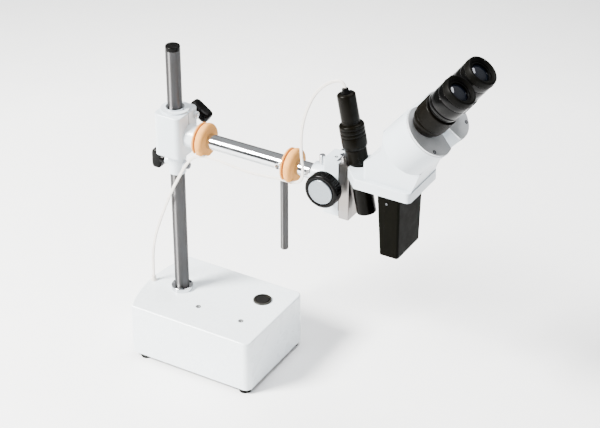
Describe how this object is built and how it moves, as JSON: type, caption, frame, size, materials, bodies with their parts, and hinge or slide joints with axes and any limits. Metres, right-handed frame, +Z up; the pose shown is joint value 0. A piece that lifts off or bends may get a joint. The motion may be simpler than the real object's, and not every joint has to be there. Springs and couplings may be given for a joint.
{
  "type": "stereo microscope",
  "caption": "Stereo microscope whose inclined binocular head, focus block and lamp hang on a boom that slides and swings on a pillar over a weighted box base with a switch.",
  "frame": {"origin": "on the surface the stand rests on, below the middle of the whole object", "axes": "+Z up along the pillar, +X along the boom towards the head, y = 0 is the plane of symmetry of the head"},
  "size_m": [0.4782, 0.14, 0.5077],
  "materials": {
    "white_sheet": "gloss",
    "cast_ballast": "matte",
    "black_rubber": "matte",
    "dark_screws": "satin",
    "laminations": "matte",
    "winding": "satin",
    "black_plastic": "satin",
    "white_vinyl": "satin",
    "chrome_plate": "polished",
    "bright_steel": "satin",
    "white_casting": "satin",
    "beige_rubber": "matte",
    "satin_aluminium": "satin",
    "black_anodised": "satin",
    "optical_glass": "polished"
  },
  "bodies": {
    "stand": {"base_cover": "white_sheet", "bottom_plate": "cast_ballast", "rubber_feet": "black_rubber", "foot_screws": "dark_screws", "top_screws": "dark_screws", "transformer_core": "laminations", "transformer_coil": "winding", "switch_body": "black_plastic", "pillar_collar": "chrome_plate", "collar_screws": "dark_screws", "pillar": "chrome_plate", "pillar_bolt": "bright_steel", "pillar_cap": "black_plastic", "mains_gland": "black_plastic", "lead_grommet": "white_vinyl", "lead_riser": "white_vinyl"},
    "rocker": {"switch_rocker": "black_plastic"},
    "stop": {"stop_collar": "white_casting", "stop_screw": "dark_screws"},
    "stop_lock": {"collar_knob": "black_plastic"},
    "clamp": {"clamp_block": "white_casting", "clamp_bush": "chrome_plate", "boom_tube": "chrome_plate", "ring_guide_rear": "beige_rubber", "ring_guide_front": "beige_rubber", "drop_rod": "chrome_plate", "rod_clamp_screw": "chrome_plate", "lead_loop": "white_vinyl"},
    "clamp_lock": {"clamp_knob": "black_plastic"},
    "focus_block": {"focus_body": "white_casting"},
    "socket_lock": {"thumbscrew": "chrome_plate"},
    "focus_drive": {"focus_shaft": "bright_steel", "focus_knobs": "black_plastic", "knob_discs": "satin_aluminium"},
    "head": {"focus_slider": "satin_aluminium", "focus_rack": "bright_steel", "head_plate": "white_casting", "head_body": "white_casting", "objective_shroud": "black_anodised", "objectives": "black_anodised", "lamp_gland": "black_plastic", "lamp_barrel": "black_anodised", "lamp_nose": "black_anodised", "lamp_bulb": "optical_glass", "lamp_lens": "optical_glass"},
    "left_housing": {"prism_housing_left": "white_casting", "end_plate_left": "satin_aluminium", "prism_left": "optical_glass", "eye_tube_left": "black_anodised"},
    "dioptre": {"dioptre_ring": "black_anodised"},
    "left_eyepiece": {"eyepiece_left": "black_anodised", "eye_lens_left": "optical_glass", "eyecup_left": "black_rubber"},
    "right_housing": {"prism_housing_right": "white_casting", "end_plate_right": "satin_aluminium", "prism_right": "optical_glass", "eye_tube_right": "black_anodised"},
    "right_eyepiece": {"eyepiece_right": "black_anodised", "eye_lens_right": "optical_glass", "eyecup_right": "black_rubber"}
  },
  "joints": [
    {"name": "rocker_tilt", "type": "hinge", "parent": "stand", "child": "rocker", "pos_m": [-0.07326, 0.028, 0.0775], "axis": [0, 1, 0], "range_deg": [0, 16]},
    {"name": "height_slide", "type": "slide", "parent": "stand", "child": "stop", "axis": [0, 0, 1], "range_m": [-0.1, 0.075], "deforming": ["lead_riser"]},
    {"name": "stop_knob_turn", "type": "hinge", "parent": "stop", "child": "stop_lock", "pos_m": [-0.20136, 0, 0.273], "axis": [-1, 0, 0], "range_deg": [-180, 0]},
    {"name": "boom_swing", "type": "hinge", "parent": "stop", "child": "clamp", "pos_m": [-0.18136, 0, 0.318], "axis": [0, 0, 1], "range_deg": [-90, 90], "deforming": ["lead_riser"]},
    {"name": "clamp_knob_turn", "type": "hinge", "parent": "clamp", "child": "clamp_lock", "pos_m": [-0.16586, 0.03, 0.336], "axis": [0, 1, 0], "range_deg": [-180, 0]},
    {"name": "head_tilt", "type": "hinge", "parent": "clamp", "child": "focus_block", "pos_m": [0.02164, 0, 0.318], "axis": [1, 0, 0], "range_deg": [-45, 45], "deforming": ["lead_loop"]},
    {"name": "thumbscrew_turn", "type": "hinge", "parent": "focus_block", "child": "socket_lock", "pos_m": [0.03164, 0, 0.333], "axis": [0, 0, 1], "range_deg": [0, 180]},
    {"name": "focus_travel", "type": "slide", "parent": "focus_block", "child": "head", "axis": [0, 0, 1], "range_m": [-0.02, 0.02], "deforming": ["lead_loop"]},
    {"name": "focus_knob_turn", "type": "hinge", "parent": "focus_block", "child": "focus_drive", "pos_m": [0.05264, 0, 0.32], "axis": [0, -1, 0], "range_deg": [-192, 192]},
    {"name": "left_pupil_turn", "type": "hinge", "parent": "head", "child": "left_housing", "pos_m": [0.18464, -0.022, 0.4303], "axis": [0.6756, 0, 0.7373], "range_deg": [0, 24]},
    {"name": "right_pupil_turn", "type": "hinge", "parent": "head", "child": "right_housing", "pos_m": [0.18464, 0.022, 0.4303], "axis": [0.6756, 0, 0.7373], "range_deg": [-24, 0]},
    {"name": "dioptre_turn", "type": "hinge", "parent": "left_housing", "child": "dioptre", "pos_m": [0.17801, -0.0275, 0.43638], "axis": [0.6088, 0, 0.7934], "range_deg": [-120, 120]},
    {"name": "left_eyepiece_pull", "type": "slide", "parent": "left_housing", "child": "left_eyepiece", "axis": [0.6088, 0, 0.7934], "range_m": [0, 0.02]},
    {"name": "right_eyepiece_pull", "type": "slide", "parent": "right_housing", "child": "right_eyepiece", "axis": [0.6088, 0, 0.7934], "range_m": [0, 0.02]}
  ],
  "couplings": [
    {"joint": "focus_knob_turn", "follows": "focus_travel", "rad_per_m": 166.67},
    {"joint": "right_pupil_turn", "follows": "left_pupil_turn", "ratio": -1}
  ]
}
